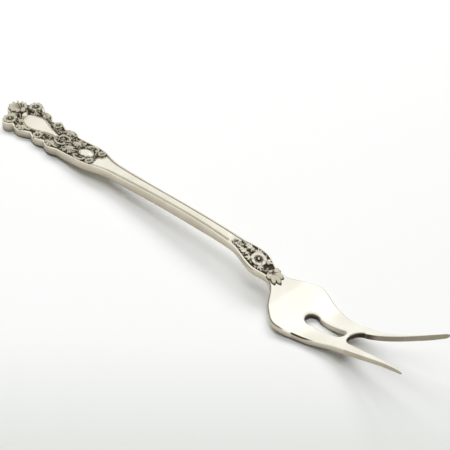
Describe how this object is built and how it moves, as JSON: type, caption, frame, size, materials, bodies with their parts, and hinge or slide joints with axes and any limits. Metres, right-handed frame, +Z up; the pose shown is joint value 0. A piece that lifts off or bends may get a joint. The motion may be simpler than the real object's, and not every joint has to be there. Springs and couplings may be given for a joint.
{
  "type": "olive fork",
  "caption": "Small silver serving fork with an ornamented flat handle, an arched reeded stem, a pierced shallow bowl and splayed rising tines, for lifting olives from their brine",
  "frame": {"origin": "On the table, under the middle of the fork's overall length and width", "axes": "+X from the tip of the handle to the points of the tines, +Y to the left of that heading, +Z up"},
  "size_m": [0.1462, 0.0168, 0.014],
  "materials": {
    "polished_silver": "polished, with fine wear scratches",
    "chased_silver": "polished on the high points, darkened in the recesses"
  },
  "bodies": {
    "root": {"terminal_plate": "polished_silver", "stem": "polished_silver", "shoulder": "polished_silver", "bowl": "polished_silver", "left_tine": "polished_silver", "right_tine": "polished_silver", "tip_shell": "chased_silver", "plain_panel": "chased_silver", "oval_boss": "chased_silver", "shoulder_rosette": "chased_silver", "neck_palmette": "chased_silver", "left_tip_rosette": "chased_silver", "left_edge_leaf_1": "chased_silver", "left_edge_rosette_2": "chased_silver", "left_edge_leaf_3": "chased_silver", "left_panel_scroll": "chased_silver", "left_throat_leaf": "chased_silver", "left_throat_scroll": "chased_silver", "left_throat_rosette": "chased_silver", "left_spray_leaf": "chased_silver", "right_tip_rosette": "chased_silver", "right_edge_leaf_1": "chased_silver", "right_edge_rosette_2": "chased_silver", "right_edge_leaf_3": "chased_silver", "right_panel_scroll": "chased_silver", "right_throat_leaf": "chased_silver", "right_throat_scroll": "chased_silver", "right_throat_rosette": "chased_silver", "right_spray_leaf": "chased_silver"}
  },
  "joints": []
}
